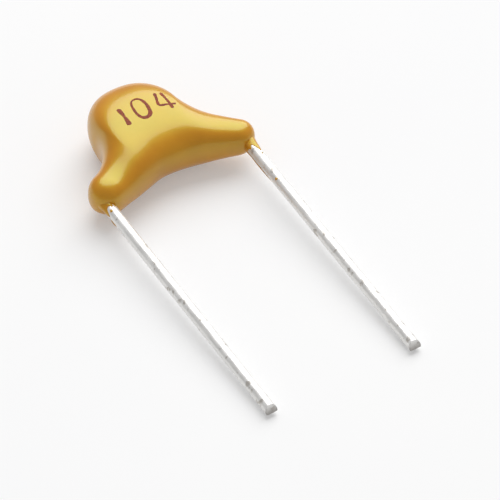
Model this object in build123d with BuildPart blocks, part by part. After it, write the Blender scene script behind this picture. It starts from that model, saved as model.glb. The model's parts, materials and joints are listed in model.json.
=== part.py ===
# Radial multilayer ceramic capacitor with a dipped epoxy coating, in millimetres.
# It lies as it comes to rest: on the back of its head and on the tips of both leads.
# +Z is up, the leads point to -Y, the head to +Y, and the origin is under its middle.
import os
from math import acos, asin, atan2, cos, hypot, pi, sin, tau

from build123d import *

os.makedirs("parts", exist_ok=True)

# Leads, measured from the line where both leave the coating
lead_pitch = 5.08
wire_diameter = 0.40
lead_length = 9.35
wire_bend_radius = 0.45
wire_knee_height = 1.50
wire_shoulder_height = 0.40
shear_slant = 0.14

# Outline of the coating, seen from the front
head_radius = 1.45
head_height = 2.54
waist_radius = 2.30
bulb_radius = 0.56
bulb_height = 0.575
bulb_inset = 0.19
arch_height = 0.53

# Thickness of the coating, which follows its width and levels off over the chip
thickness_per_width = 1.20
thickness_limit = 1.06
thickness_blend = 2.1
section_fullness = 0.71
edge_lean = 0.005
fan_sections = 13
fan_start = 0.03
fan_crowding = 1.4

# Run-down of coating on each lead
rundown_length = 0.30
rundown_depth = 0.38
rundown_radius = 0.31
rundown_film = 0.02
rundown_hollow = 0.03

# Ceramic chip, with its metal ends
chip_length = 1.60
chip_width = 0.80
chip_thickness = 0.80
chip_height = 2.35
termination_thickness = 0.04
termination_band = 0.35
termination_corner = 0.05

# Inner electrodes, alternately joined to the left and the right end
electrode_pairs = 12
electrode_spacing = 0.020
electrode_thickness = 0.003
end_margin = 0.20
side_margin = 0.12

# Solder between each metal end and its wire
solder_length = 0.70
solder_foot = 0.64
solder_gap = 0.02
solder_film = 0.03
solder_hollow = 0.04

wire_radius = wire_diameter / 2
lead_x = lead_pitch / 2
bulb_x = lead_x - bulb_inset


def toward(start, end):
    """Angle in radians of the direction from one point of the outline to another."""
    return atan2(end[1] - start[1], end[0] - start[0])


def point_on(centre, radius, angle):
    """The point of a circle at an angle in radians."""
    return centre[0] + radius * cos(angle), centre[1] + radius * sin(angle)


class ArcPath:
    """A run of tangent arcs, each given as centre, radius, first angle and last angle."""

    def __init__(self, *arcs):
        self.arcs = arcs
        self.lengths = [radius * abs(last - first) for _, radius, first, last in arcs]

    def at(self, fraction):
        """The point at a fraction of the whole run."""
        distance = fraction * sum(self.lengths)
        for (centre, radius, first, last), length in zip(self.arcs, self.lengths):
            share = distance / length
            if share <= 1:
                break
            distance -= length
        return point_on(centre, radius, first + min(share, 1) * (last - first))


# The left half of the outline: a bulb round the lead, a waist and half of the head outside,
# and the arch inside. Each arc is tangent to the next, and both paths start at the lead.
bulb_centre = (-bulb_x, bulb_height)
head_centre = (0, head_height)
bulb_to_head = hypot(bulb_x, head_height - bulb_height)
bulb_reach = bulb_radius + waist_radius
head_reach = head_radius + waist_radius
waist_turn = acos((bulb_reach**2 + bulb_to_head**2 - head_reach**2) / (2 * bulb_reach * bulb_to_head))
waist_centre = point_on(bulb_centre, bulb_reach, toward(bulb_centre, head_centre) + waist_turn)
arch_drop = bulb_height - arch_height
arch_radius = (bulb_x**2 + arch_drop**2 - bulb_radius**2) / (2 * (bulb_radius - arch_drop))
arch_centre = (0, arch_height - arch_radius)
lead_exit = -pi / 2 - asin(bulb_inset / bulb_radius)
outer_path = ArcPath(
    (bulb_centre, bulb_radius, lead_exit, toward(bulb_centre, waist_centre) - tau),
    (waist_centre, waist_radius, toward(waist_centre, bulb_centre), toward(waist_centre, head_centre)),
    (head_centre, head_radius, toward(head_centre, waist_centre) % tau, pi / 2),
)
inner_path = ArcPath(
    (bulb_centre, bulb_radius, lead_exit, toward(bulb_centre, arch_centre)),
    (arch_centre, arch_radius, toward(arch_centre, bulb_centre), pi / 2),
)


def half_thickness(half_width):
    """Half of the coating's thickness where half of its width is this much."""
    rising = (thickness_per_width * half_width) ** -thickness_blend
    return (rising + thickness_limit**-thickness_blend) ** (-1 / thickness_blend)


# Rest: the tilt that puts the back of the head and the lead tips on one level
peak = (head_height + head_radius - arch_height) / 2
peak_middle = (head_height + head_radius + arch_height) / 2
peak_depth = half_thickness(peak)


def quarter_point(half_width, depth, share):
    """A point of the rounded quarter of a section, from its end at 0 to its face at 1."""
    early = (1 - share) ** 3 + 3 * (1 - share) ** 2 * share
    late = share**3 + 3 * share**2 * (1 - share)
    early_bend = 3 * (1 - share) ** 2 * share
    late_bend = 3 * share**2 * (1 - share)
    across = half_width * (early + section_fullness * late_bend)
    up = depth * (late + section_fullness * early_bend)
    return across, up


def support(along, across):
    """Reach of the middle section from its centre in the direction (along, across)."""
    quarter = [quarter_point(peak, peak_depth, step / 500) for step in range(501)]
    return max(along * reach + across * rise for reach, rise in quarter)


tilt = 0
for _ in range(30):
    drop = support(sin(tilt), cos(tilt)) - wire_radius * cos(tilt)
    tilt = asin(drop / (peak_middle + lead_length))
rest_height = lead_length * sin(tilt) + wire_radius * cos(tilt)
head_reach_y = peak_middle * cos(tilt) + support(cos(tilt), sin(tilt))
tip_reach_y = lead_length * cos(tilt) + wire_radius * sin(tilt)
rest_offset = (tip_reach_y - head_reach_y) / 2

# Both leads lie in this plane: its x runs along the pitch and its y toward the head
lead_plane = Plane(
    origin=(0, rest_offset, rest_height),
    x_dir=(1, 0, 0),
    z_dir=(0, -sin(tilt), cos(tilt)),
)


def placed(local_plane):
    """A plane given in the lead plane's own coordinates, at its place in the part."""
    return Plane(lead_plane.location * local_plane.location)


def coating_section(fraction, side):
    """A closed rounded section between the outer and the inner path of one half."""
    outer = Vector(*outer_path.at(fraction))
    inner = Vector(*inner_path.at(fraction))
    half_width = (outer - inner).length / 2
    depth = half_thickness(half_width)
    middle = (outer + inner) / 2
    outward = (outer - inner).normalized()
    middle = Vector(-side * middle.X, middle.Y)
    outward = Vector(-side * outward.X, outward.Y)
    plane = placed(Plane(origin=middle, x_dir=outward, z_dir=outward.cross(Vector(0, 0, 1))))
    side_handle = half_width * (1 - edge_lean)
    with BuildSketch(plane) as section:
        with BuildLine():
            for up in (depth, -depth):
                bend = up * section_fullness
                shoulder = half_width * section_fullness
                Bezier((half_width, 0), (side_handle, bend), (shoulder, up), (0, up))
                Bezier((0, up), (-shoulder, up), (-side_handle, bend), (-half_width, 0))
        make_face()
    return section.sketch


sides = {"left": -1, "right": 1}

# Leads: down the end of the chip, out to the pitch, then straight to a sheared tip
chip_top = chip_height + chip_width / 2
wire_x = chip_length / 2 + solder_gap + wire_radius
leads = {}
for name, side in sides.items():
    with BuildPart() as lead:
        with BuildLine(lead_plane) as route:
            FilletPolyline(
                (side * wire_x, chip_top),
                (side * wire_x, wire_knee_height),
                (side * lead_x, wire_shoulder_height),
                (side * lead_x, -lead_length),
                radius=wire_bend_radius,
            )
        with BuildSketch(Plane(origin=route.line @ 0, z_dir=route.line % 0)):
            Circle(wire_radius)
        sweep()
        shear_plane = placed(Plane(origin=(side * lead_x, -lead_length, 0), x_dir=(0, 1, 0), z_dir=(1, 0, 0)))
        with BuildSketch(shear_plane):
            with BuildLine():
                Polyline(
                    (-wire_diameter, -wire_radius),
                    (0, -wire_radius),
                    (shear_slant, wire_radius),
                    (shear_slant, wire_diameter),
                    (-wire_diameter, wire_diameter),
                    close=True,
                )
            make_face()
        extrude(amount=wire_radius, both=True, mode=Mode.SUBTRACT)
    lead.part.label = f"{name}_lead"
    export_step(lead.part, f"parts/{name}_lead.step")
    leads[name] = lead

# Ceramic block, with a thin pocket for each electrode open at one of its ends
ceramic_length = chip_length - 2 * termination_thickness
ceramic_width = chip_width - 2 * termination_thickness
ceramic_thickness = chip_thickness - 2 * termination_thickness
electrode_length = ceramic_length - end_margin
electrode_width = ceramic_width - 2 * side_margin
electrodes = []
for layer in range(2 * electrode_pairs):
    name = list(sides)[layer % 2]
    level = (layer - electrode_pairs + 0.5) * electrode_spacing
    electrode_plane = placed(Plane(origin=(sides[name] * end_margin / 2, chip_height, level)))
    with BuildPart() as electrode:
        with BuildSketch(electrode_plane):
            Rectangle(electrode_length, electrode_width)
        extrude(amount=electrode_thickness / 2, both=True)
    electrode.part.label = f"{name}_electrode_{layer // 2 + 1:02d}"
    export_step(electrode.part, f"parts/{electrode.part.label}.step")
    electrodes.append(electrode)

chip_plane = placed(Plane(origin=(0, chip_height, 0)))
with BuildPart() as ceramic_envelope:
    with BuildSketch(chip_plane):
        Rectangle(ceramic_length, ceramic_width)
    extrude(amount=ceramic_thickness / 2, both=True)

with BuildPart() as ceramic_block:
    add(ceramic_envelope.part)
    for electrode in electrodes:
        add(electrode.part, mode=Mode.SUBTRACT)
ceramic_block.part.label = "ceramic_block"
export_step(ceramic_block.part, "parts/ceramic_block.step")

# Metal ends, folded over five faces of the ceramic, with the long edges rounded
with BuildPart() as chip_envelope:
    with BuildSketch(chip_plane):
        Rectangle(chip_length, chip_width)
    extrude(amount=chip_thickness / 2, both=True)
    fillet(chip_envelope.edges().filter_by(Axis.X), termination_corner)

terminations = {}
for name, side in sides.items():
    band_x = side * (chip_length - termination_band) / 2
    with BuildPart() as termination:
        with BuildSketch(placed(Plane(origin=(band_x, chip_height, 0)))):
            Rectangle(termination_band, chip_width)
        extrude(amount=chip_thickness / 2, both=True)
        add(chip_envelope.part, mode=Mode.INTERSECT)
        add(ceramic_envelope.part, mode=Mode.SUBTRACT)
    termination.part.label = f"{name}_termination"
    export_step(termination.part, f"parts/{name}_termination.step")
    terminations[name] = termination

# Solder: a fillet each side of the wire and a thin film over it
solder_joints = {}
for name, side in sides.items():
    joint_plane = placed(Plane(origin=(0, chip_height, 0), x_dir=(side, 0, 0), z_dir=(0, -side, 0)))
    face_x = chip_length / 2
    shoulder = wire_radius + solder_film
    with BuildPart() as solder_joint:
        with BuildSketch(joint_plane):
            with BuildLine():
                Line((face_x, solder_foot / 2), (face_x, -solder_foot / 2))
                SagittaArc((face_x, -solder_foot / 2), (wire_x, -shoulder), solder_hollow)
                ThreePointArc((wire_x, -shoulder), (wire_x + shoulder, 0), (wire_x, shoulder))
                SagittaArc((wire_x, shoulder), (face_x, solder_foot / 2), solder_hollow)
            make_face()
        extrude(amount=solder_length / 2, both=True)
        add(leads[name].part, mode=Mode.SUBTRACT)
    solder_joint.part.label = f"{name}_solder_joint"
    export_step(solder_joint.part, f"parts/{name}_solder_joint.step")
    solder_joints[name] = solder_joint

# Coating: one skin lofted through sections that fan out round the arch, from the left
# lead over the head to the right lead, then moulded round all that it holds
fan_steps = [(step / fan_sections) ** fan_crowding for step in range(fan_sections)]
fractions = [fan_start + (1 - fan_start) * step for step in fan_steps]
sections = [coating_section(fraction, -1) for fraction in fractions]
sections.append(coating_section(1, -1))
sections += [coating_section(fraction, 1) for fraction in reversed(fractions)]
with BuildPart() as epoxy_coating:
    loft(sections)
    for name, side in sides.items():
        lead_axis = Axis(lead_plane.from_local_coords((side * lead_x, 0, 0)), lead_plane.y_dir)
        with BuildSketch(placed(Plane(origin=(side * lead_x, 0, 0)))):
            with BuildLine():
                Polyline(
                    (wire_radius + rundown_film, -rundown_length),
                    (0, -rundown_length),
                    (0, rundown_depth),
                    (rundown_radius, rundown_depth),
                )
                SagittaArc(
                    (rundown_radius, rundown_depth),
                    (wire_radius + rundown_film, -rundown_length),
                    -rundown_hollow,
                )
            make_face()
        revolve(axis=lead_axis)
    for name in sides:
        add(leads[name].part, mode=Mode.SUBTRACT)
        add(solder_joints[name].part, mode=Mode.SUBTRACT)
        add(terminations[name].part, mode=Mode.SUBTRACT)
    add(ceramic_envelope.part, mode=Mode.SUBTRACT)
epoxy_coating.part.label = "epoxy_coating"
export_step(epoxy_coating.part, "parts/epoxy_coating.step")
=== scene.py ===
import json
import math

import bpy
import numpy as np
from mathutils import Matrix, Quaternion, Vector


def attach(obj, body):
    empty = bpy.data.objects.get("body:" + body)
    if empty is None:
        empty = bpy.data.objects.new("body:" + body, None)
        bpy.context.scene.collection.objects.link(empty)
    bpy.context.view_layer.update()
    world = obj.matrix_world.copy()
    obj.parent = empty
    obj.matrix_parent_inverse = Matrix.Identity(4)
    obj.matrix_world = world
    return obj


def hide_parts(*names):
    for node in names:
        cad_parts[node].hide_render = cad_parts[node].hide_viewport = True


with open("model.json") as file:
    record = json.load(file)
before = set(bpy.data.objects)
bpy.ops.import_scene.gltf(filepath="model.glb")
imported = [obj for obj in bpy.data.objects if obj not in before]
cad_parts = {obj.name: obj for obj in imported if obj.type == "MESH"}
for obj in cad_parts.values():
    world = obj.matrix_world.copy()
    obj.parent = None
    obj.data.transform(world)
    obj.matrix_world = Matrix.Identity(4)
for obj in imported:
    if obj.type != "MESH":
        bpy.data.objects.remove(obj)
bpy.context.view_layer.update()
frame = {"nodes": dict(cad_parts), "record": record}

# Chip. A block of fired ceramic with thin nickel layers between its sheets and a tinned
# metal cap on each end, soldered to the wires. All of it is buried in the coating, so it
# keeps its exact solids, and only its finishes are made here.
CERAMIC_COLOURS = (0.44, 0.35, 0.25), (0.55, 0.45, 0.33)
NICKEL_COLOURS = (0.50, 0.47, 0.43), (0.60, 0.57, 0.52)
CAP_COLOURS = (0.60, 0.59, 0.57), (0.74, 0.73, 0.70)
SOLDER_COLOURS = (0.58, 0.58, 0.57), (0.72, 0.72, 0.71)

# By kind of node: the finish's name, its dark and light colour, its roughness where smooth
# and where rough, its grain's scale and height, and how metallic it is.
INNER_FINISHES = {
    "ceramic_block": ("fired_ceramic", CERAMIC_COLOURS, (0.6, 0.8), 30000, 2e-6, 0.0),
    "electrode": ("nickel_layer", NICKEL_COLOURS, (0.35, 0.5), 40000, 1e-7, 1.0),
    "termination": ("tinned_cap", CAP_COLOURS, (0.3, 0.5), 25000, 1e-6, 1.0),
    "solder_joint": ("soft_solder", SOLDER_COLOURS, (0.2, 0.4), 12000, 2e-6, 1.0),
}
GRAIN_DETAIL = 4.0
GRAIN_SPAN = 0.35, 0.65

# Places of the colour sockets of a Mix node, whose names stand for several sockets each.
MIX_SHARE, MIX_FIRST, MIX_SECOND, MIX_RESULT = 0, 6, 7, 2


def rising_share(nodes, links, value, span):
    """A share that goes evenly from 0 to 1 while value goes through the span."""
    ramp = nodes.new("ShaderNodeMapRange")
    ramp.inputs["From Min"].default_value = span[0]
    ramp.inputs["From Max"].default_value = span[1]
    links.new(value, ramp.inputs["Value"])
    return ramp.outputs["Result"]


def blended_colour(nodes, links, share, first, second):
    """A colour that goes from the first to the second as the share goes from 0 to 1. The
    second is a socket or a plain colour."""
    mix = nodes.new("ShaderNodeMix")
    mix.data_type = "RGBA"
    links.new(share, mix.inputs[MIX_SHARE])
    links.new(first, mix.inputs[MIX_FIRST])
    if isinstance(second, tuple):
        mix.inputs[MIX_SECOND].default_value = (*second, 1)
    else:
        links.new(second, mix.inputs[MIX_SECOND])
    return mix.outputs[MIX_RESULT]


def make_grain_group():
    """Grain that every finish shares: fractal noise at Scale mixes Dark into Light, sets
    the roughness between Smooth and Rough, and lifts the surface by Height (in metres)."""
    group = bpy.data.node_groups.new("fine_grain", "ShaderNodeTree")
    sockets = {
        "INPUT": {
            "Vector": "Vector", "Scale": "Float", "Dark": "Color", "Light": "Color",
            "Smooth": "Float", "Rough": "Float", "Height": "Float",
        },
        "OUTPUT": {"Color": "Color", "Roughness": "Float", "Normal": "Vector"},
    }
    for in_out, kinds in sockets.items():
        for name, kind in kinds.items():
            group.interface.new_socket(name, in_out=in_out, socket_type=f"NodeSocket{kind}")
    nodes, links = group.nodes, group.links
    given = nodes.new("NodeGroupInput").outputs
    result = nodes.new("NodeGroupOutput").inputs
    noise = nodes.new("ShaderNodeTexNoise")
    noise.inputs["Detail"].default_value = GRAIN_DETAIL
    links.new(given["Vector"], noise.inputs["Vector"])
    links.new(given["Scale"], noise.inputs["Scale"])
    share = rising_share(nodes, links, noise.outputs["Fac"], GRAIN_SPAN)
    colour = blended_colour(nodes, links, share, given["Dark"], given["Light"])
    rough = nodes.new("ShaderNodeMapRange")
    links.new(share, rough.inputs["Value"])
    links.new(given["Smooth"], rough.inputs["To Min"])
    links.new(given["Rough"], rough.inputs["To Max"])
    bump = nodes.new("ShaderNodeBump")
    links.new(noise.outputs["Fac"], bump.inputs["Height"])
    links.new(given["Height"], bump.inputs["Distance"])
    links.new(colour, result["Color"])
    links.new(rough.outputs["Result"], result["Roughness"])
    links.new(bump.outputs["Normal"], result["Normal"])
    return group


fine_grain = make_grain_group()


def finish(name, colours, roughness, scale, height, metallic):
    """A grained material. colours are (dark, light), roughness is (smooth, rough), and its
    grain is noise at scale that stands height high, in metres."""
    material = bpy.data.materials.new(name)
    material.use_nodes = True
    nodes, links = material.node_tree.nodes, material.node_tree.links
    shader = nodes["Principled BSDF"]
    grain = nodes.new("ShaderNodeGroup")
    grain.name = "Grain"
    grain.node_tree = fine_grain
    where = nodes.new("ShaderNodeTexCoord")
    links.new(where.outputs["Object"], grain.inputs["Vector"])
    grain.inputs["Scale"].default_value = scale
    grain.inputs["Dark"].default_value = (*colours[0], 1)
    grain.inputs["Light"].default_value = (*colours[1], 1)
    grain.inputs["Smooth"].default_value = roughness[0]
    grain.inputs["Rough"].default_value = roughness[1]
    grain.inputs["Height"].default_value = height
    links.new(grain.outputs["Color"], shader.inputs["Base Color"])
    links.new(grain.outputs["Roughness"], shader.inputs["Roughness"])
    links.new(grain.outputs["Normal"], shader.inputs["Normal"])
    shader.inputs["Metallic"].default_value = metallic
    return material


for kind, look in INNER_FINISHES.items():
    material = finish(*look)
    for node_name, node in frame["nodes"].items():
        if kind in node_name:
            node.data.materials.clear()
            node.data.materials.append(material)

# Lead wires. Tinned copper wire 0.4 mm across, soldered down each end of the chip, bent out
# to the pitch inside the coating and then straight. Cutting pliers shear the tips.
SIDES = ("left", -1), ("right", 1)
LEAD_X = 2.54
LEAD_LENGTH = 9.35
WIRE_RADIUS = 0.20
WIRE_ROUTE = (1.02, 2.75), (1.02, 1.50), (LEAD_X, 0.40), (LEAD_X, -LEAD_LENGTH)
BEND_RADIUS = 0.45
ROUTE_STEP = 0.05
BEND_STEPS = 14
WIRE_SIDES = 40

# The drawn wire's mean surface keeps this far inside its solid, because its waves stand out
# from there. Each wave: its height, how fast it turns along the wire, its turns round it.
WIRE_INSIDE = 0.004
WIRE_WAVES = (0.0016, 1.7, 1), (0.0012, 4.3, 2), (0.0008, 9.1, 3)
WIRE_SEED = 7

# The cut is a ridge with two facets. The rings before it keep back from it by these steps.
CUT_RIDGE = -0.05
CUT_SLOPE = 0.55
CUT_BACKING = 0.08, 0.05, 0.028, 0.014, 0.005
CUT_RAGGED = 0.003
CUT_TEETH = 7
CUT_SHRINK = 0.94

TIN_COLOURS = (0.84, 0.83, 0.81), (0.93, 0.92, 0.90)
TIN_ROUGHNESS = 0.32, 0.48
TIN_GRAIN_SCALE = 9000
TIN_GRAIN_HEIGHT = 1e-6
TIN_METALLIC = 0.55
TIN_STRETCH = 1.0, 0.22, 1.0
PIT_COLOUR = 0.55, 0.52, 0.48
PIT_SCALE = 4300
PIT_DETAIL = 2.0
PIT_SPAN = 0.60, 0.70
CUT_COLOUR = 0.36, 0.34, 0.32
CUT_REACH = 0.13

# Both wires lie in one plane, which leans a little because the part rests on the back of
# its head and on the wire tips. Places are given in it, in millimetres: x along the pitch,
# y toward the head and z out of the marked face. A pin mount starts at BARE_FROM below the
# plane's own zero.
MILLIMETRE = 0.001
BARE_FROM = 0.30
pins = frame["record"]["mounts"]
down_the_leads = np.array(pins[0]["axis"], dtype=float)
lead_axes = np.stack([
    np.array([1.0, 0.0, 0.0]),
    -down_the_leads,
    np.cross([1.0, 0.0, 0.0], -down_the_leads),
])
pins_start = (np.array(pins[0]["pos_m"]) + np.array(pins[1]["pos_m"])) / 2
lead_origin = pins_start - down_the_leads * BARE_FROM * MILLIMETRE


def to_part(points):
    """Places in the lead plane, in millimetres, carried to the part's frame, in metres."""
    return lead_origin + np.asarray(points, dtype=float) @ lead_axes * MILLIMETRE


def closed_mesh(name, rings, first_pole=None, last_pole=None):
    """A smooth closed mesh over rings of points: one quad between each four neighbours, and
    a fan of triangles to a pole at each end, by default the middle of the end ring. The
    rings are turned over where the signed volume of the quads says they face inwards."""
    first_pole = rings[0].mean(axis=0) if first_pole is None else first_pole
    last_pole = rings[-1].mean(axis=0) if last_pole is None else last_pole
    ahead = np.roll(rings, -1, axis=1)
    a, b, c, d = rings[:-1], ahead[:-1], ahead[1:], rings[1:]
    a, b, c, d = (corner - first_pole for corner in (a, b, c, d))
    if np.sum(a * np.cross(b, c)) + np.sum(a * np.cross(c, d)) < 0:
        rings = rings[:, ::-1]
    rows, columns = rings.shape[:2]
    here = np.arange(rows * columns).reshape(rows, columns)
    ahead = np.roll(here, -1, axis=1)
    quads = np.stack([here[:-1], ahead[:-1], ahead[1:], here[1:]], axis=-1).reshape(-1, 4)
    start, end = rows * columns, rows * columns + 1
    first_fan = np.stack([ahead[0], here[0], np.full(columns, start)], axis=-1)
    last_fan = np.stack([here[-1], ahead[-1], np.full(columns, end)], axis=-1)
    points = np.concatenate([rings.reshape(-1, 3), [first_pole], [last_pole]])
    faces = quads.tolist() + first_fan.tolist() + last_fan.tolist()
    mesh = bpy.data.meshes.new(name)
    mesh.from_pydata(points.tolist(), [], faces)
    mesh.polygons.foreach_set("use_smooth", np.ones(len(mesh.polygons), dtype=bool))
    mesh.update()
    return mesh


def add_piece(mesh, material, slot_name, *nodes):
    """Links a finished mesh as a piece of the part, with what it stands for."""
    piece = bpy.data.objects.new(mesh.name, mesh)
    bpy.context.scene.collection.objects.link(piece)
    piece.data.materials.append(material)
    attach(piece, "root")
    if nodes:
        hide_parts(*nodes)


def rounded_route(corners, radius, spacing):
    """Points along straight runs joined by arcs: at each inner corner the arc is tangent to
    both runs, and starts radius times the tangent of half the turn before the corner."""
    corners = np.array(corners)
    ways = np.diff(corners, axis=0)
    ways /= np.linalg.norm(ways, axis=1)[:, None]
    angles = np.arcsin(ways[:-1, 0] * ways[1:, 1] - ways[:-1, 1] * ways[1:, 0])
    trims = radius * np.tan(np.abs(angles) / 2)
    stretches, start = [], corners[0]
    for corner, way, angle, trim in zip(corners[1:-1], ways, angles, trims):
        stop = corner - way * trim
        steps = max(2, int(np.linalg.norm(stop - start) / spacing))
        shares = np.linspace(0, 1, steps, endpoint=False)[:, None]
        stretches.append(start + shares * (stop - start))
        centre = stop + np.sign(angle) * radius * np.array([-way[1], way[0]])
        arm, square_arm = stop - centre, np.array([centre[1] - stop[1], stop[0] - centre[0]])
        swing = np.linspace(0, angle, BEND_STEPS, endpoint=False)[:, None]
        stretches.append(centre + np.cos(swing) * arm + np.sin(swing) * square_arm)
        start = centre + math.cos(angle) * arm + math.sin(angle) * square_arm
    steps = int(np.linalg.norm(corners[-1] - start) / spacing)
    stretches.append(start + np.linspace(0, 1, steps)[:, None] * (corners[-1] - start))
    return np.concatenate(stretches)


def wire_surface(side):
    """Circles of the wire's radius carried along its route, a few thousandths of a
    millimetre uneven. The last ones are moved onto the cut, a blunt wedge whose two facets
    slope back from a ridge: the length there grows with the height above or below it."""
    route = rounded_route([(side * x, y) for x, y in WIRE_ROUTE], BEND_RADIUS, ROUTE_STEP)
    way = np.gradient(route, axis=0)
    way /= np.linalg.norm(way, axis=1)[:, None]
    angle = np.linspace(0, math.tau, WIRE_SIDES, endpoint=False)
    chance = np.random.default_rng(WIRE_SEED + side)
    travel = np.arange(len(route))[:, None] * ROUTE_STEP
    uneven = sum(
        size * np.sin(pitch * travel + turns * angle + chance.uniform(0, math.tau))
        for size, pitch, turns in WIRE_WAVES
    )
    radius = WIRE_RADIUS - WIRE_INSIDE + uneven
    x = route[:, :1] - radius * np.cos(angle) * way[:, 1:]
    y = route[:, 1:] + radius * np.cos(angle) * way[:, :1]
    tube = np.stack([x, y, radius * np.sin(angle)], axis=-1)
    cut = CUT_SLOPE * np.abs(tube[-1, :, 2] - CUT_RIDGE) - LEAD_LENGTH
    cut += CUT_RAGGED * (1 + np.sin(CUT_TEETH * angle + side))
    tube[-1, :, 1] = cut
    before = slice(-1 - len(CUT_BACKING), -1)
    kept_back = cut + np.array(CUT_BACKING)[:, None]
    tube[before, :, 1] = np.maximum(tube[before, :, 1], kept_back)
    last = tube[-1].copy()
    middle = [side * LEAD_X, 0]
    last[:, [0, 2]] = (last[:, [0, 2]] - middle) * CUT_SHRINK + middle
    return np.concatenate([tube, last[None]])


tin = finish(
    "tinned_copper", TIN_COLOURS, TIN_ROUGHNESS, TIN_GRAIN_SCALE, TIN_GRAIN_HEIGHT, TIN_METALLIC)
nodes, links = tin.node_tree.nodes, tin.node_tree.links
where = nodes["Texture Coordinate"].outputs["Object"]
stretch = nodes.new("ShaderNodeMapping")
stretch.inputs["Scale"].default_value = TIN_STRETCH
links.new(where, stretch.inputs["Vector"])
links.new(stretch.outputs["Vector"], nodes["Grain"].inputs["Vector"])
pits = nodes.new("ShaderNodeTexNoise")
pits.inputs["Scale"].default_value = PIT_SCALE
pits.inputs["Detail"].default_value = PIT_DETAIL
links.new(where, pits.inputs["Vector"])
pitted = rising_share(nodes, links, pits.outputs["Fac"], PIT_SPAN)
tin_colour = blended_colour(nodes, links, pitted, nodes["Grain"].outputs["Color"], PIT_COLOUR)
apart = nodes.new("ShaderNodeSeparateXYZ")
links.new(where, apart.inputs["Vector"])
cut_end = to_part((0.0, -LEAD_LENGTH, CUT_RIDGE))[1]
cut_start = cut_end + CUT_REACH * MILLIMETRE
at_cut = rising_share(nodes, links, apart.outputs["Y"], (cut_start, cut_end))
wire_colour = blended_colour(nodes, links, at_cut, tin_colour, CUT_COLOUR)
links.new(wire_colour, nodes["Principled BSDF"].inputs["Base Color"])
for side_name, side in SIDES:
    ridge = to_part((side * LEAD_X, -LEAD_LENGTH, CUT_RIDGE))
    mesh = closed_mesh(f"{side_name}_tinned_wire", to_part(wire_surface(side)), last_pole=ridge)
    add_piece(mesh, tin, "tinned_wire", f"{side_name}_lead")

# Epoxy coating. The soldered chip is dipped in thick ochre epoxy and cured, so the skin is
# one glossy drop: a squarish head over the chip, an arm down each wire that ends in a
# rounded bulb, and a hollow arch between. Dipping leaves its two sides a little unlike.
HEAD_CORNER_RADIUS = 1.267
HEAD_CORNER_HEIGHT = 2.705
HEAD_CORNER_SPACING = 0.151
HEAD_TOP_RADIUS = 2.385
HEAD_SHIFT = -0.123
BULB_HEIGHT = 0.596
BULB_RADIUS = {-1: 0.612, 1: 0.490}
BULB_INSET = {-1: 0.261, 1: 0.125}
WAIST_RADIUS = {-1: 1.564, 1: 2.402}
SHOULDER_SLOPE = {-1: 0.435, 1: 0.709}
ARCH_HEIGHT = 0.577
ARCH_SLOPE = 0.297
THICKNESS_PER_WIDTH = 1.20
THICKNESS_LIMIT = 1.055
THICKNESS_BLEND = 2.1
SECTION_FULLNESS = 0.71
LEAST_WIDTH = 1e-6
SKIN_ROWS = 220
SKIN_SIDES = 176
SKIN_CROWDING = 1.3
EPOXY_COLOURS = (0.59, 0.180, 0.003), (0.66, 0.220, 0.005)
EPOXY_ROUGHNESS = 0.34, 0.40
EPOXY_GRAIN_SCALE = 900
EPOXY_GRAIN_HEIGHT = 4e-6
EPOXY_GLOSS = {
    "IOR": 1.65, "Specular IOR Level": 1.0, "Specular Tint": (0.50, 1.0, 0.12, 1),
    "Coat Weight": 0.6, "Coat Roughness": 0.11, "Coat IOR": 1.5,
}


def angle_of(vector):
    """Angle of a vector in the lead plane, in radians."""
    return math.atan2(vector[1], vector[0])


def unit(angle):
    """Unit vector at an angle."""
    return np.array([math.cos(angle), math.sin(angle)])


def outline(side):
    """One half of the outline, laid out on the left: two runs of tangent arcs (centre,
    radius, from, to) and straight lines (start, end). Outside: bulb, shoulder line, waist,
    head corner, head top. Inside: bulb, arch line, arch. The waist's centre is the place
    its radius above the shoulder line and both radii away from the head corner's centre."""
    shift = HEAD_SHIFT * -side
    radius, waist_radius = BULB_RADIUS[side], WAIST_RADIUS[side]
    bulb = np.array([BULB_INSET[side] - LEAD_X, BULB_HEIGHT])
    corner = np.array([shift - HEAD_CORNER_SPACING, HEAD_CORNER_HEIGHT])
    up_line = unit(SHOULDER_SLOPE[side])
    off_line = np.array([-up_line[1], up_line[0]])
    base = bulb + off_line * (radius + waist_radius)
    back = (base - corner) @ up_line
    reach = (base - corner) @ (base - corner) - (HEAD_CORNER_RADIUS + waist_radius) ** 2
    waist = base + up_line * (-back - math.sqrt(back**2 - reach))
    rise = math.sqrt((HEAD_TOP_RADIUS - HEAD_CORNER_RADIUS) ** 2 - HEAD_CORNER_SPACING**2)
    top = np.array([shift, HEAD_CORNER_HEIGHT - rise])
    way_out = -math.pi / 2 - math.asin(BULB_INSET[side] / radius)
    outer = [
        (bulb, radius, way_out, angle_of(off_line) - math.tau),
        (bulb + off_line * radius, waist - off_line * waist_radius),
        (waist, waist_radius, angle_of(-off_line), angle_of(corner - waist)),
        (corner, HEAD_CORNER_RADIUS, angle_of(waist - corner) % math.tau, angle_of(corner - top)),
        (top, HEAD_TOP_RADIUS, angle_of(corner - top), math.pi / 2),
    ]
    along_arch = unit(ARCH_SLOPE)
    off_arch = np.array([along_arch[1], -along_arch[0]])
    foot = bulb + off_arch * radius
    peak = foot[1] - foot[0] * math.tan(ARCH_SLOPE)
    arch_radius = (peak - ARCH_HEIGHT) / (1 / math.cos(ARCH_SLOPE) - 1)
    arch = np.array([0.0, ARCH_HEIGHT - arch_radius])
    inner = [
        (bulb, radius, way_out, angle_of(off_arch)),
        (foot, arch - off_arch * arch_radius),
        (arch, arch_radius, angle_of(-off_arch), math.pi / 2),
    ]
    return outer, inner


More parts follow.
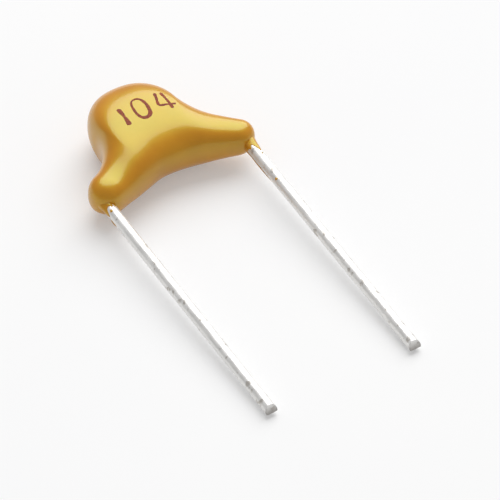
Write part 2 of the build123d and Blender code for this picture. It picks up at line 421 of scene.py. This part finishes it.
def along(run, share):
    """Points at shares of a run's whole length: each share is found in the running sum of
    the lengths, then placed on its own arc or line."""
    lengths = np.array([
        part[1] * abs(part[3] - part[2]) if len(part) == 4 else np.linalg.norm(part[1] - part[0])
        for part in run
    ])
    ends = np.cumsum(lengths)
    distance = np.clip(share, 0, 1) * ends[-1]
    which = np.minimum(np.searchsorted(ends, distance), len(run) - 1)
    local = (distance - (ends - lengths)[which]) / lengths[which]
    points = np.empty(np.shape(share) + (2,))
    for number, part in enumerate(run):
        chosen = which == number
        step = local[chosen][:, None]
        if len(part) == 4:
            centre, radius, start, end = part
            angle = start + step * (end - start)
            arm = np.concatenate([np.cos(angle), np.sin(angle)], axis=1)
            points[chosen] = centre + radius * arm
        else:
            start, end = part
            points[chosen] = start + step * (end - start)
    return points


def half_thickness(half_width):
    """Half thickness of the skin: it rises with the width and levels off over the chip, as
    the sum of both inverse powers, turned back."""
    width = np.maximum(half_width, LEAST_WIDTH)
    rising = (THICKNESS_PER_WIDTH * width) ** -THICKNESS_BLEND
    return (rising + THICKNESS_LIMIT**-THICKNESS_BLEND) ** (-1 / THICKNESS_BLEND)


def rounded_quarter(share):
    """A quarter of a section's rounded edge as a cubic curve, from the side (1, 0) at 0 to
    the face (0, 1) at 1, with handles as long as SECTION_FULLNESS."""
    back = 1 - share
    side = back**3 + 3 * back**2 * share + 3 * back * share**2 * SECTION_FULLNESS
    face = share**3 + 3 * share**2 * back + 3 * share * back**2 * SECTION_FULLNESS
    return side, face


def half_skin(side, shares, turns):
    """Half of the skin on a grid: for each share of the outline a ring of turns (0 to 4
    quarters) round the line that joins the outer run to the inner run."""
    outer_run, inner_run = outline(side)
    outer, inner = along(outer_run, shares), along(inner_run, shares)
    depth = half_thickness(np.linalg.norm(outer - inner, axis=-1) / 2)
    quarter = np.floor(turns) % 4
    share = turns - np.floor(turns)
    reach, rise = rounded_quarter(np.where(quarter % 2 == 1, 1 - share, share))
    reach = np.where((quarter == 1) | (quarter == 2), -reach, reach)
    rise = np.where(quarter >= 2, -rise, rise)
    flat = (outer + inner)[:, None] / 2 + (outer - inner)[:, None] / 2 * reach[None, :, None]
    points = np.concatenate([flat, (depth[:, None] * rise[None])[..., None]], axis=-1)
    return points * np.array([-side, 1.0, 1.0])


# The left half goes up to the middle of the head, and the right half goes back down.
shares = np.linspace(0.0, 1.0, SKIN_ROWS) ** SKIN_CROWDING
turns = np.linspace(0, 4, SKIN_SIDES, endpoint=False)
left_skin, right_skin = half_skin(-1, shares, turns), half_skin(1, shares, turns)
skin = np.concatenate([left_skin[1:], right_skin[-2:0:-1]])
epoxy = finish(
    "ochre_epoxy", EPOXY_COLOURS, EPOXY_ROUGHNESS, EPOXY_GRAIN_SCALE, EPOXY_GRAIN_HEIGHT, 0.0)
for socket, value in EPOXY_GLOSS.items():
    epoxy.node_tree.nodes["Principled BSDF"].inputs[socket].default_value = value
left_pole, right_pole = to_part(left_skin[0, 0]), to_part(right_skin[0, 0])
mesh = closed_mesh("coating_skin", to_part(skin), left_pole, right_pole)
add_piece(mesh, epoxy, "epoxy", "epoxy_coating")

# Run-down. As the part is lifted out of the dip, epoxy runs down each wire and sets as a
# thin uneven collar that thins out to nothing, longer on one side than on the other.
COLLAR_TOP = 0.34
COLLAR_LENGTH = {-1: 0.01, 1: 0.05}
COLLAR_SIDES = 72
COLLAR_ROWS = 40

# The wall starts SUNK below the wire's surface, gains a lip within one part in LIP_SPEED of
# its height, and flares to the top as a power of the way up.
COLLAR_SUNK = 0.010
COLLAR_LIP = 0.022
COLLAR_LIP_SPEED = 12
COLLAR_FLARE = 0.085
COLLAR_FLARE_POWER = 1.7

# Each tongue: its length, its angle round the wire and its half width in radians. Each
# ripple of the lower edge: its height and its waves round the wire.
COLLAR_TONGUES = {
    -1: ((0.27, 2.95, 0.42), (0.10, 0.9, 0.25), (0.12, 5.2, 0.40)),
    1: ((0.32, 1.10, 0.36), (0.08, 2.3, 0.25), (0.20, 3.8, 0.30)),
}
COLLAR_RIPPLES = (0.02, 5), (0.012, 9)


def collar_surface(side):
    """A sleeve round the wire: its lower edge hangs by COLLAR_LENGTH plus a smooth tongue
    at each given angle, and its wall thickens as a power of the way up."""
    angle = np.linspace(0, math.tau, COLLAR_SIDES, endpoint=False)
    (wide, wide_waves), (fine, fine_waves) = COLLAR_RIPPLES
    hang = COLLAR_LENGTH[side] + wide * np.sin(wide_waves * angle + side)
    hang = hang + fine * np.sin(fine_waves * angle)
    for length, middle, width in COLLAR_TONGUES[side]:
        apart = (angle - middle + math.pi) % math.tau - math.pi
        hang = hang + length * np.exp(-((apart / width) ** 2))
    up = np.linspace(0, 1, COLLAR_ROWS)[:, None]
    flare = (COLLAR_FLARE + COLLAR_SUNK) * up**COLLAR_FLARE_POWER
    lip = COLLAR_LIP * np.minimum(up * COLLAR_LIP_SPEED, 1) * (1 - up)
    radius = WIRE_RADIUS - COLLAR_SUNK + flare + lip + 0 * angle
    y = -hang + up * (hang + COLLAR_TOP)
    x = side * LEAD_X + radius * np.cos(angle)
    return np.stack([x, y, radius * np.sin(angle)], axis=-1)


for side_name, side in SIDES:
    mesh = closed_mesh(f"{side_name}_rundown", to_part(collar_surface(side)))
    add_piece(mesh, epoxy, "epoxy")

# Splashes. A few drops of the same epoxy have set on the wires below the collars. One long
# thin strip of it along the right wire's underside is painted shade: it stands where a dark
# line of contact shade falls. Each is given by its wire, its angle round it, its height, and
# half its length and width.
SPLASHES = {
    "left_drip": (-1, 3.36, -0.49, 0.19, 0.20),
    "left_fleck": (-1, 1.51, -0.03, 0.045, 0.22),
    "left_speck": (-1, 2.10, -0.19, 0.055, 0.26),
    # Painted shade: a thin strip of epoxy along the right wire's underside, standing for its dark
    # line of contact shade.
    "right_painted_shade_strip": (1, 3.48, -0.70, 0.78, 0.13),
    "right_fleck": (1, 2.23, -1.56, 0.055, 0.26),
    "right_speck": (1, 1.28, -0.46, 0.035, 0.18),
}
SPLASH_RISE = 0.028
SPLASH_SUNK = 0.008
SPLASH_BASE = 0.02
SPLASH_RINGS = 14
SPLASH_SIDES = 28
SPLASH_CORE = 0.04
SPLASH_RIPPLES = (0.12, 3), (0.08, 5)


def splash_surface(side, middle, height, half_length, half_angle):
    """A flat drop wrapped on the wire: rings of growing size round its middle, with a wavy
    edge, domed by one less the square of the ring's share, then a base inside the wire."""
    out = np.linspace(SPLASH_CORE, 1, SPLASH_RINGS)[:, None]
    spin = np.linspace(0, math.tau, SPLASH_SIDES, endpoint=False)[None, :]
    (wide, wide_waves), (fine, fine_waves) = SPLASH_RIPPLES
    edge = 1 + wide * np.sin(wide_waves * spin + middle) + fine * np.sin(fine_waves * spin)
    angle = middle + half_angle * out * edge * np.sin(spin)
    y = height + half_length * out * edge * np.cos(spin)
    dome = WIRE_RADIUS - SPLASH_SUNK + SPLASH_RISE * (1 - out**2) + 0 * spin
    radius = np.concatenate([dome, np.full_like(dome, WIRE_RADIUS - SPLASH_BASE)])
    angle, y = np.concatenate([angle, angle[::-1]]), np.concatenate([y, y[::-1]])
    x = side * LEAD_X + radius * np.cos(angle)
    return np.stack([x, y, radius * np.sin(angle)], axis=-1)


for name, place in SPLASHES.items():
    add_piece(closed_mesh(name, to_part(splash_surface(*place))), epoxy, "epoxy")

# Marking. The value code, three plain digits, is stamped on the face in thin brown ink:
# 10 and four zeros stand for 100 000 picofarads. The strokes are uneven, as a stamp leaves.
INK_COLOURS = (0.19, 0.032, 0.020), (0.37, 0.088, 0.036)
INK_ROUGHNESS = 0.45, 0.65
INK_GRAIN_SCALE = 14000
INK_GRAIN_HEIGHT = 1e-6
INK_SPECULAR = 0.2

# The ink stands LIFT high on the face, and its base lies SUNK below it. Each wander of a
# stroke's width: its share of the width and its waves along the stroke.
INK_LIFT = 0.004
INK_SUNK = 0.01
INK_SIDES = 20
INK_WANDER = (0.07, 3), (0.05, 8), (0.03, 17)
INK_END = 0.02

# Each stroke: its half width, the share by which that swells, the share of its length at
# which it is heaviest, and its points on the face.
STROKES = {
    "one": (
        0.068, 0.28, 0.0,
        ((-0.73, 2.64), (-0.67, 2.66), (-0.66, 2.47), (-0.67, 2.23), (-0.69, 1.97)),
    ),
    "four_side": (
        0.048, 0.10, 0.1,
        ((0.65, 2.76), (0.60, 2.56), (0.53, 2.37), (0.50, 2.23)),
    ),
    "four_bar": (
        0.040, 0.12, 0.2,
        ((0.49, 2.25), (0.57, 2.19), (0.72, 2.16), (0.87, 2.11), (1.02, 2.07)),
    ),
    "four_stem": (
        0.048, 0.15, 0.9,
        ((0.83, 2.70), (0.84, 2.49), (0.845, 2.30), (0.84, 2.11), (0.83, 1.93)),
    ),
}
STROKE_STEPS = 60
STROKE_EASING = 6
STROKE_SEED = 20
ZERO = (
    0.050, 0.30, 0.42,
    (
        (0.05, 2.82), (0.15, 2.70), (0.19, 2.50), (0.17, 2.28), (0.12, 2.08), (0.01, 1.99),
        (-0.15, 1.99), (-0.25, 2.10), (-0.28, 2.29), (-0.26, 2.51), (-0.22, 2.70), (-0.12, 2.82),
    ),
)
ZERO_STEPS = 120
ZERO_EASING = 14
ZERO_SEED = 31
HALVINGS = 40
EDGE_SAMPLES = 2001


def face_height(x, y):
    """Height of the marked face over the lead plane at places (x, y). The section line
    through each place is found by halving, then its rounded edge is read at that place."""
    height = np.zeros(x.shape)
    side_samples, face_samples = rounded_quarter(np.linspace(0, 1, EDGE_SAMPLES))
    for side in (-1, 1):
        chosen = (x < 0) if side < 0 else (x >= 0)
        place = np.stack([-np.abs(x[chosen]), y[chosen]], axis=-1)
        outer_run, inner_run = outline(side)
        low, high = np.zeros(len(place)), np.ones(len(place))
        for _ in range(HALVINGS):
            middle = (low + high) / 2
            outer, inner = along(outer_run, middle), along(inner_run, middle)
            line, offset = outer - inner, place - inner
            past = line[:, 0] * offset[:, 1] - line[:, 1] * offset[:, 0] < 0
            low, high = np.where(past, middle, low), np.where(past, high, middle)
        half_width = np.linalg.norm(outer - inner, axis=-1) / 2
        reach = np.linalg.norm(place - (outer + inner) / 2, axis=-1) / half_width
        face = np.interp(np.clip(reach, 0, 1), side_samples[::-1], face_samples[::-1])
        height[chosen] = half_thickness(half_width) * face
    return height


def smooth_line(points, count):
    """A line eased through a stroke's points: each coordinate is read against the length
    along the stroke, then averaged a few times with its neighbours."""
    points = np.array(points)
    length = np.concatenate([[0], np.cumsum(np.linalg.norm(np.diff(points, axis=0), axis=1))])
    at = np.linspace(0, length[-1], count)
    line = np.stack([np.interp(at, length, points[:, axis]) for axis in (0, 1)], axis=-1)
    for _ in range(STROKE_EASING):
        line[1:-1] = (line[:-2] + 2 * line[1:-1] + line[2:]) / 4
    return line


def ink_ribbon(line, half_width, swell, heavy, seed, joined):
    """A thin body of ink on the face: round the stroke's line runs a flat ring, as wide as
    the stroke and INK_LIFT high at its middle, whose base is sunk just into the face. The
    half width swells by a cosine about the share called heavy, wanders a little and rounds
    off at open ends."""
    chance = np.random.default_rng(seed)
    share = np.linspace(0, 1, len(line))
    if joined:
        way = np.roll(line, -1, axis=0) - np.roll(line, 1, axis=0)
    else:
        way = np.gradient(line, axis=0)
    way /= np.linalg.norm(way, axis=1)[:, None]
    wander = sum(
        size * np.sin(math.tau * waves * share + chance.uniform(0, math.tau))
        for size, waves in INK_WANDER
    )
    width = half_width * (1 + swell * np.cos(math.tau * (share - heavy)) + wander)
    if not joined:
        count = np.arange(len(line))
        inward = np.minimum(count, count[::-1]) * np.linalg.norm(line[1] - line[0]) / half_width
        inward = np.clip(inward, INK_END, 1)
        width = width * np.sqrt(inward * (2 - inward))
    turn = np.linspace(0, math.tau, INK_SIDES, endpoint=False)
    across, rise = np.cos(turn), np.sin(turn)
    lift = np.where(rise > 0, rise * INK_LIFT, rise * INK_SUNK)
    normal = np.stack([-way[:, 1], way[:, 0]], axis=-1)
    flat = line[:, None] + normal[:, None] * (width[:, None] * across)[..., None]
    height = face_height(flat[..., 0].ravel(), flat[..., 1].ravel()).reshape(flat.shape[:2])
    return np.concatenate([flat, (height + lift)[..., None]], axis=-1)


ink = finish("brown_ink", INK_COLOURS, INK_ROUGHNESS, INK_GRAIN_SCALE, INK_GRAIN_HEIGHT, 0.0)
ink.node_tree.nodes["Principled BSDF"].inputs["Specular IOR Level"].default_value = INK_SPECULAR
for number, (name, (half_width, swell, heavy, points)) in enumerate(STROKES.items()):
    line, seed = smooth_line(points, STROKE_STEPS), STROKE_SEED + number
    ribbon = to_part(ink_ribbon(line, half_width, swell, heavy, seed, joined=False))
    add_piece(closed_mesh(f"ink_{name}", ribbon), ink, "epoxy")

# The zero's points are gone round three times, and the middle round is kept and closed.
half_width, swell, heavy, points = ZERO
ring = smooth_line(points * 3, ZERO_STEPS * 3)[ZERO_STEPS:ZERO_STEPS * 2]
for _ in range(ZERO_EASING):
    ring = (np.roll(ring, 1, axis=0) + 2 * ring + np.roll(ring, -1, axis=0)) / 4
ribbon = to_part(ink_ribbon(ring, half_width, swell, heavy, ZERO_SEED, joined=True))
add_piece(closed_mesh("ink_zero", np.concatenate([ribbon, ribbon[:1]])), ink, "epoxy")

# Floor. The part lies on a plain white surface, like a sheet of paper. It isn't part of the
# object, and only takes the object's soft shadow.
FLOOR_SIZE = 4.0
FLOOR_COLOURS = (0.93, 0.93, 0.935), (0.95, 0.95, 0.95)
FLOOR_ROUGHNESS = 0.85, 0.95
FLOOR_GRAIN_SCALE = 60
BRIGHT_COLOUR = 0.97, 0.97, 0.97
BRIGHT_SHARE = 0.28
corners = np.array([(-1, -1, 0), (1, -1, 0), (1, 1, 0), (-1, 1, 0)]) * FLOOR_SIZE / 2
mesh = bpy.data.meshes.new("floor")
mesh.from_pydata(corners.tolist(), [], [(0, 1, 2, 3)])
floor = bpy.data.objects.new("floor", mesh)
bpy.context.scene.collection.objects.link(floor)
white = finish("white_surface", FLOOR_COLOURS, FLOOR_ROUGHNESS, FLOOR_GRAIN_SCALE, 0.0, 0.0)

# The camera, and what mirrors or passes light, sees a share of plain white in the floor, as
# a bright exposure shows it. It keeps the rest of the shadow.
nodes, links = white.node_tree.nodes, white.node_tree.links
rays = nodes.new("ShaderNodeLightPath").outputs
seen = rays["Is Camera Ray"]
for ray in ("Is Glossy Ray", "Is Transmission Ray"):
    either = nodes.new("ShaderNodeMath")
    either.operation = "MAXIMUM"
    links.new(seen, either.inputs[0])
    links.new(rays[ray], either.inputs[1])
    seen = either.outputs[0]
white_share = nodes.new("ShaderNodeMath")
white_share.operation = "MULTIPLY"
white_share.inputs[1].default_value = BRIGHT_SHARE
links.new(seen, white_share.inputs[0])
plain_white = nodes.new("ShaderNodeEmission")
plain_white.inputs["Color"].default_value = (*BRIGHT_COLOUR, 1)
blended = nodes.new("ShaderNodeMixShader")
links.new(white_share.outputs[0], blended.inputs[0])
links.new(nodes["Principled BSDF"].outputs["BSDF"], blended.inputs[1])
links.new(plain_white.outputs["Emission"], blended.inputs[2])
links.new(blended.outputs["Shader"], nodes["Material Output"].inputs["Surface"])
floor.data.materials.append(white)

# Light. One large soft source stands behind the head and to its right, at half height, as a
# window does, and a dim pale surround fills the rest.
LAMP_DIRECTION = math.radians(45)
LAMP_ELEVATION = math.radians(50)
LAMP_DISTANCE = 0.50
LAMP_ROLL = math.radians(-38)
LAMP_WIDTH = 0.46
LAMP_HEIGHT = 0.72
LAMP_POWER = 2.6
SURROUND = 0.42
lamp_way = Vector((
    math.sin(LAMP_DIRECTION) * math.cos(LAMP_ELEVATION),
    math.cos(LAMP_DIRECTION) * math.cos(LAMP_ELEVATION),
    math.sin(LAMP_ELEVATION),
))
lamp_data = bpy.data.lights.new("window", "AREA")
lamp_data.shape = "ELLIPSE"
lamp_data.size = LAMP_WIDTH
lamp_data.size_y = LAMP_HEIGHT
lamp_data.energy = LAMP_POWER
lamp = bpy.data.objects.new("window", lamp_data)
bpy.context.scene.collection.objects.link(lamp)
lamp.location = lamp_way * LAMP_DISTANCE
lamp_turn = lamp_way.to_track_quat("Z", "Y") @ Quaternion((0, 0, 1), LAMP_ROLL)
lamp.rotation_euler = lamp_turn.to_euler()
world = bpy.data.worlds.new("surround")
bpy.context.scene.world = world
world.use_nodes = True
world.node_tree.nodes["Background"].inputs["Color"].default_value = (1.0, 1.0, 1.0, 1)
world.node_tree.nodes["Background"].inputs["Strength"].default_value = SURROUND

# Camera. A long lens looks down on the part from beyond the tip of its left wire, as the
# photograph does. The lead plane's zero falls on ORIGIN_PIXEL, counted from the top left.
CAMERA_AZIMUTH = math.radians(-31.72)
CAMERA_ELEVATION = math.radians(45.12)
PIXELS_PER_MM = 32.72
ORIGIN_PIXEL = 181.9, 178.6
FRAME_PIXELS = 500
FOCAL_LENGTH = 600.0
SENSOR_WIDTH = 36.0
NEAREST = 0.01
FARTHEST = 20.0
to_camera = Vector((
    math.sin(CAMERA_AZIMUTH) * math.cos(CAMERA_ELEVATION),
    -math.cos(CAMERA_AZIMUTH) * math.cos(CAMERA_ELEVATION),
    math.sin(CAMERA_ELEVATION),
))
camera_right = Vector((math.cos(CAMERA_AZIMUTH), math.sin(CAMERA_AZIMUTH), 0))
camera_up = to_camera.cross(camera_right)
camera_data = bpy.data.cameras.new("camera")
camera_data.lens = FOCAL_LENGTH
camera_data.sensor_width = SENSOR_WIDTH
camera_data.clip_start = NEAREST
camera_data.clip_end = FARTHEST
pixel = MILLIMETRE / PIXELS_PER_MM
camera_distance = FOCAL_LENGTH / SENSOR_WIDTH * FRAME_PIXELS * pixel
aim = Vector(lead_origin.tolist())
aim += camera_right * (FRAME_PIXELS / 2 - ORIGIN_PIXEL[0]) * pixel
aim -= camera_up * (FRAME_PIXELS / 2 - ORIGIN_PIXEL[1]) * pixel
camera = bpy.data.objects.new("camera", camera_data)
bpy.context.scene.collection.objects.link(camera)
turn = Matrix((camera_right, camera_up, to_camera)).transposed().to_4x4()
camera.matrix_world = Matrix.Translation(aim + to_camera * camera_distance) @ turn
bpy.context.scene.camera = camera
bpy.context.scene.view_settings.view_transform = "Standard"
